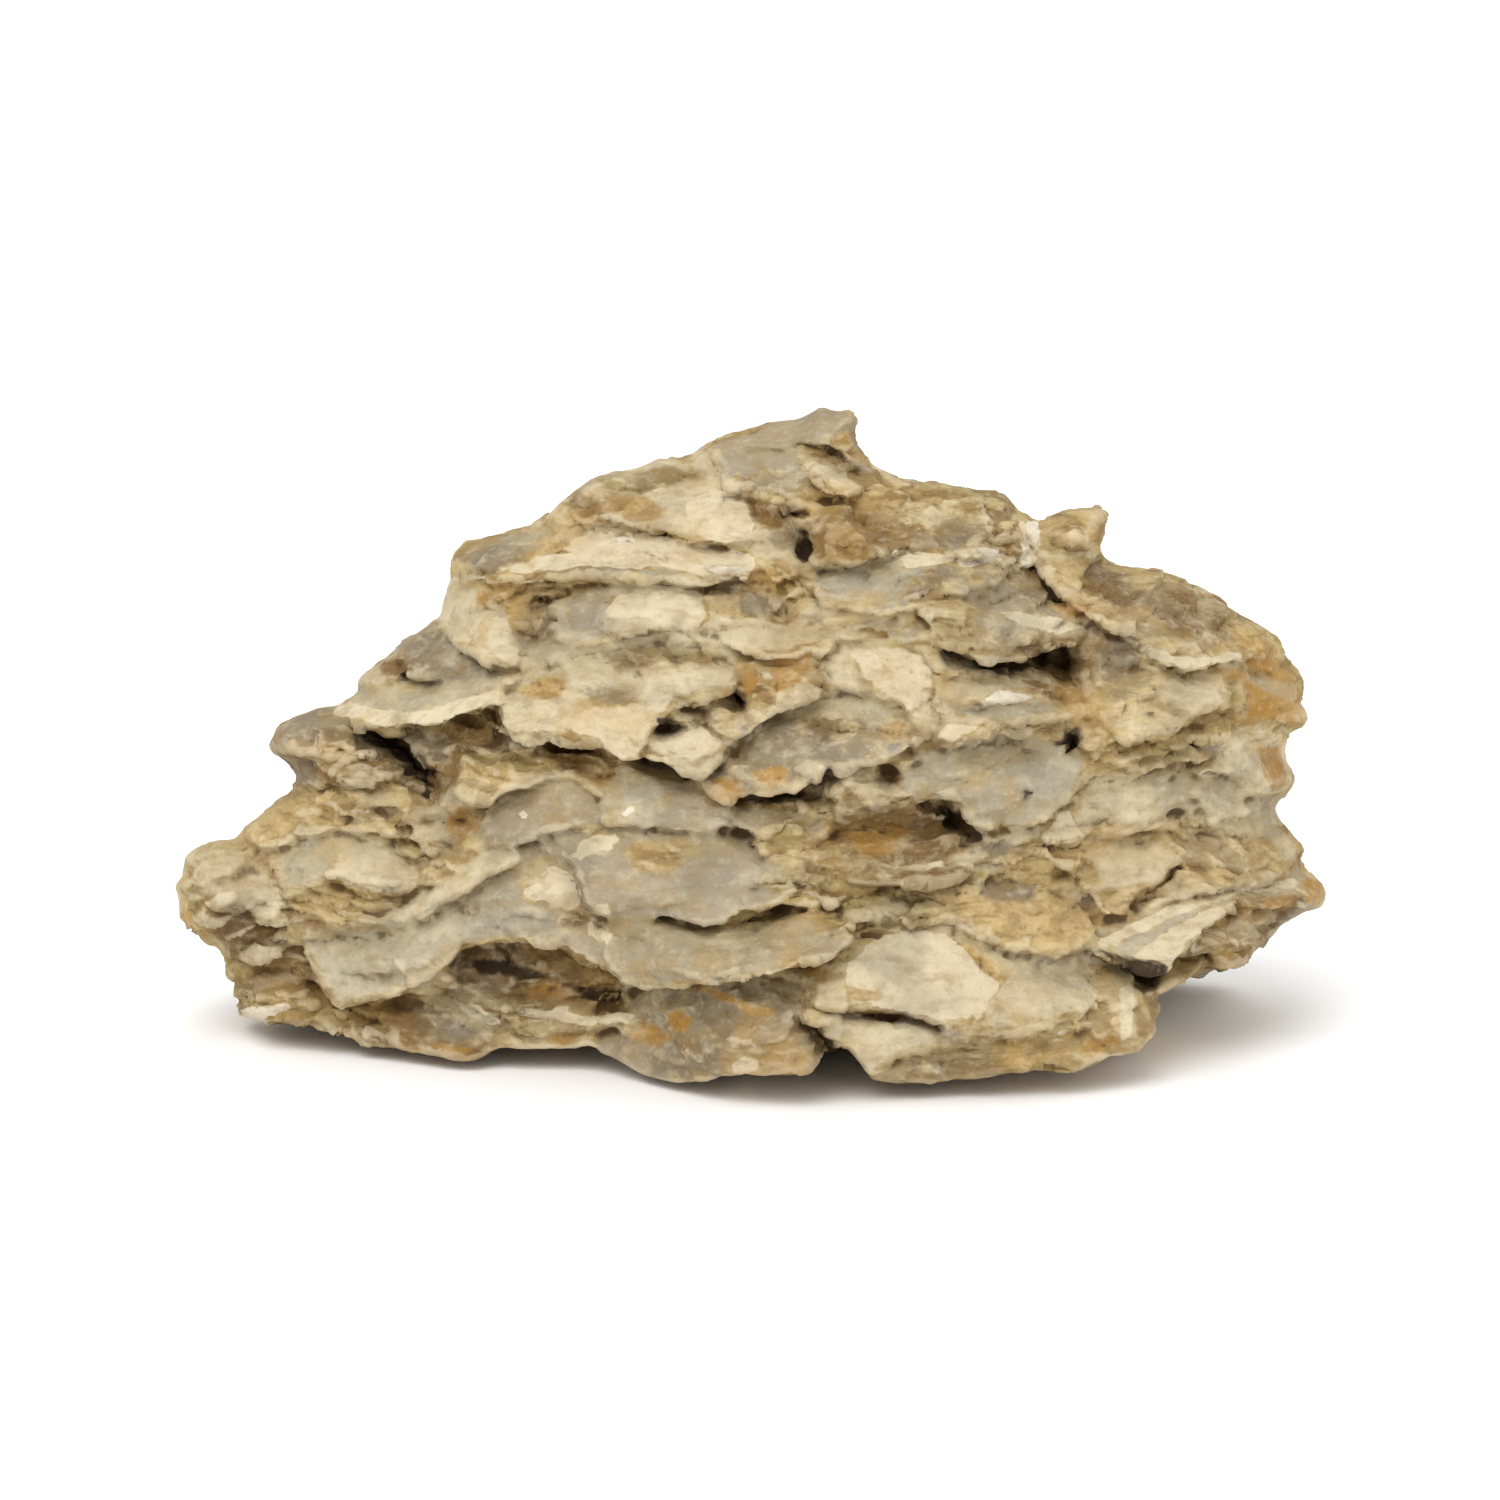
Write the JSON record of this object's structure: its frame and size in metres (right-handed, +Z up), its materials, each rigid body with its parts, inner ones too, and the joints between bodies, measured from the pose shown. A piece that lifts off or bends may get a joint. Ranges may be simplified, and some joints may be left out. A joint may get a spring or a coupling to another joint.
{
  "type": "dragon stone",
  "caption": "Flaky, layered ornamental stone with ledges, hollows and slits, resting on a small flat spot.",
  "frame": {"origin": "on the ground, under the middle of the stone", "axes": "+X along the stone's width, +Y from its front to its back, +Z up"},
  "size_m": [0.229, 0.1332, 0.1217],
  "materials": {
    "stone": "matt clay-like stone"
  },
  "bodies": {
    "root": {"dragon_stone": "stone"}
  },
  "joints": []
}
